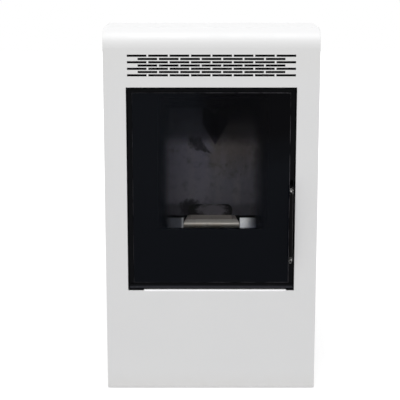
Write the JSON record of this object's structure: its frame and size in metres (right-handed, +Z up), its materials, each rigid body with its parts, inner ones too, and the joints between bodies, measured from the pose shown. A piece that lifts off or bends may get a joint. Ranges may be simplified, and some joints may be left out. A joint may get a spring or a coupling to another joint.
{
  "type": "pellet stove",
  "caption": "Freestanding pellet stove with a white steel casing, slotted warm-air grille, black glass fire door with lever handle, rear hopper and rear flue spigot.",
  "frame": {"origin": "on the floor under the middle of the whole stove, handle and rear spigots included", "axes": "+Z up, +Y towards the back, so the door faces -Y, +X towards the handle side"},
  "size_m": [0.5, 0.5454, 0.868],
  "materials": {
    "white_powder_coat": "satin powder coat",
    "black_steel": "satin heat-proof paint",
    "stove_iron": "matte, heat-browned",
    "door_glass": "clear ceramic glass with a black printed border",
    "rope_seal": "matte glass-fibre rope",
    "stainless": "brushed, heat-tinted",
    "zinc_steel": "zinc plated",
    "aluminium": "die cast",
    "dark_plastic": "fine grain",
    "grey_keys": "satin",
    "display_pane": "gloss",
    "green_board": "solder mask",
    "foam_seal": "matte",
    "ignition_ceramic": "matte"
  },
  "bodies": {
    "stove": {"front_panel": "white_powder_coat", "side_panel_left": "white_powder_coat", "side_panel_right": "white_powder_coat", "top_deck": "white_powder_coat", "rear_panel": "white_powder_coat", "hinge_brackets": "black_steel", "door_rest": "black_steel", "firebox_body": "black_steel", "firebox_flange": "black_steel", "smoke_box": "black_steel", "firebox_legs": "black_steel", "latch_keeper": "black_steel", "flue_spigot": "black_steel", "air_intake_pipe": "black_steel", "pellet_chute": "black_steel", "burn_pot_holder": "stove_iron", "baffle_plate": "stove_iron", "back_liner": "stove_iron", "heat_exchanger_tubes": "stainless", "base_tray": "zinc_steel", "casing_screws": "zinc_steel", "door_hinge_pins": "zinc_steel", "hopper": "zinc_steel", "hopper_guard_bars": "zinc_steel", "lid_hinges": "zinc_steel", "auger_tube": "zinc_steel", "exhaust_housing": "zinc_steel", "room_fan_housing": "zinc_steel", "auger_gearmotor": "aluminium", "exhaust_motor": "aluminium", "room_fan_motor": "aluminium", "control_bezel": "dark_plastic", "power_inlet": "dark_plastic", "safety_thermostat": "dark_plastic", "display_window": "display_pane", "keypad_board": "green_board", "control_board": "green_board", "igniter": "ignition_ceramic"},
    "door": {"door_frame": "black_steel", "door_glass": "door_glass", "glass_seal": "rope_seal", "door_gasket": "rope_seal"},
    "lever": {"door_lever": "black_steel"},
    "ash_drawer": {"ash_drawer": "zinc_steel"},
    "burn_pot": {"burn_pot": "stainless"},
    "hopper_lid": {"hopper_lid": "white_powder_coat", "lid_seal": "foam_seal"},
    "auger": {"auger_screw": "zinc_steel"},
    "exhaust_wheel": {"exhaust_impeller": "zinc_steel"},
    "room_fan_wheel": {"room_fan_impeller": "zinc_steel"},
    "rocker": {"rocker_switch": "dark_plastic"},
    "reset": {"reset_button": "grey_keys"},
    "key_1": {"control_key_1": "grey_keys"},
    "key_2": {"control_key_2": "grey_keys"},
    "key_3": {"control_key_3": "grey_keys"},
    "key_4": {"control_key_4": "grey_keys"},
    "foot_front_left": {"levelling_foot_front_left": "zinc_steel"},
    "foot_front_right": {"levelling_foot_front_right": "zinc_steel"},
    "foot_rear_left": {"levelling_foot_rear_left": "zinc_steel"},
    "foot_rear_right": {"levelling_foot_rear_right": "zinc_steel"}
  },
  "joints": [
    {"name": "door_hinge", "type": "hinge", "parent": "stove", "child": "door", "pos_m": [-0.186, -0.23625, 0.49], "axis": [0, 0, -1], "range_deg": [0, 110]},
    {"name": "handle_pivot", "type": "hinge", "parent": "door", "child": "lever", "pos_m": [0.18875, -0.23225, 0.498], "axis": [-1, 0, 0], "range_deg": [0, 30]},
    {"name": "ash_drawer_slide", "type": "slide", "parent": "stove", "child": "ash_drawer", "axis": [0, -1, 0], "range_m": [0, 0.151]},
    {"name": "burn_pot_lift", "type": "slide", "parent": "stove", "child": "burn_pot", "axis": [0, 0, 1], "range_m": [0, 0.06]},
    {"name": "hopper_lid_hinge", "type": "hinge", "parent": "stove", "child": "hopper_lid", "pos_m": [0, 0.22475, 0.845], "axis": [-1, 0, 0], "range_deg": [0, 95]},
    {"name": "auger_spin", "type": "hinge", "parent": "stove", "child": "auger", "pos_m": [0, 0.14275, 0.43], "axis": [0, -0.485, 0.8745], "continuous": true},
    {"name": "exhaust_fan_spin", "type": "hinge", "parent": "stove", "child": "exhaust_wheel", "pos_m": [0.078, 0.07775, 0.215], "axis": [1, 0, 0], "continuous": true},
    {"name": "room_fan_spin", "type": "hinge", "parent": "stove", "child": "room_fan_wheel", "pos_m": [0, -0.11725, 0.12], "axis": [1, 0, 0], "continuous": true},
    {"name": "key_1_press", "type": "slide", "parent": "stove", "child": "key_1", "axis": [0, 0, -1], "range_m": [0, 0.001], "stiffness_N_per_m": 400, "springref_m": -0.0005},
    {"name": "key_2_press", "type": "slide", "parent": "stove", "child": "key_2", "axis": [0, 0, -1], "range_m": [0, 0.001], "stiffness_N_per_m": 400, "springref_m": -0.0005},
    {"name": "key_3_press", "type": "slide", "parent": "stove", "child": "key_3", "axis": [0, 0, -1], "range_m": [0, 0.001], "stiffness_N_per_m": 400, "springref_m": -0.0005},
    {"name": "key_4_press", "type": "slide", "parent": "stove", "child": "key_4", "axis": [0, 0, -1], "range_m": [0, 0.001], "stiffness_N_per_m": 400, "springref_m": -0.0005},
    {"name": "rocker_tilt", "type": "hinge", "parent": "stove", "child": "rocker", "pos_m": [0.164, 0.23125, 0.0955], "axis": [-1, 0, 0], "range_deg": [0, 20]},
    {"name": "reset_press", "type": "slide", "parent": "stove", "child": "reset", "axis": [0, -1, 0], "range_m": [0, 0.002], "stiffness_N_per_m": 400, "springref_m": -0.001},
    {"name": "foot_front_left_turn", "type": "hinge", "parent": "stove", "child": "foot_front_left", "pos_m": [-0.205, -0.18725, 0.02], "axis": [0, 0, 1], "continuous": true},
    {"name": "foot_front_right_turn", "type": "hinge", "parent": "stove", "child": "foot_front_right", "pos_m": [0.205, -0.18725, 0.02], "axis": [0, 0, 1], "continuous": true},
    {"name": "foot_rear_left_turn", "type": "hinge", "parent": "stove", "child": "foot_rear_left", "pos_m": [-0.205, 0.17275, 0.02], "axis": [0, 0, 1], "continuous": true},
    {"name": "foot_rear_right_turn", "type": "hinge", "parent": "stove", "child": "foot_rear_right", "pos_m": [0.205, 0.17275, 0.02], "axis": [0, 0, 1], "continuous": true}
  ],
  "couplings": [
    {"joint": "ash_drawer_slide", "follows": "door_hinge", "m_per_rad": 0.078127}
  ]
}
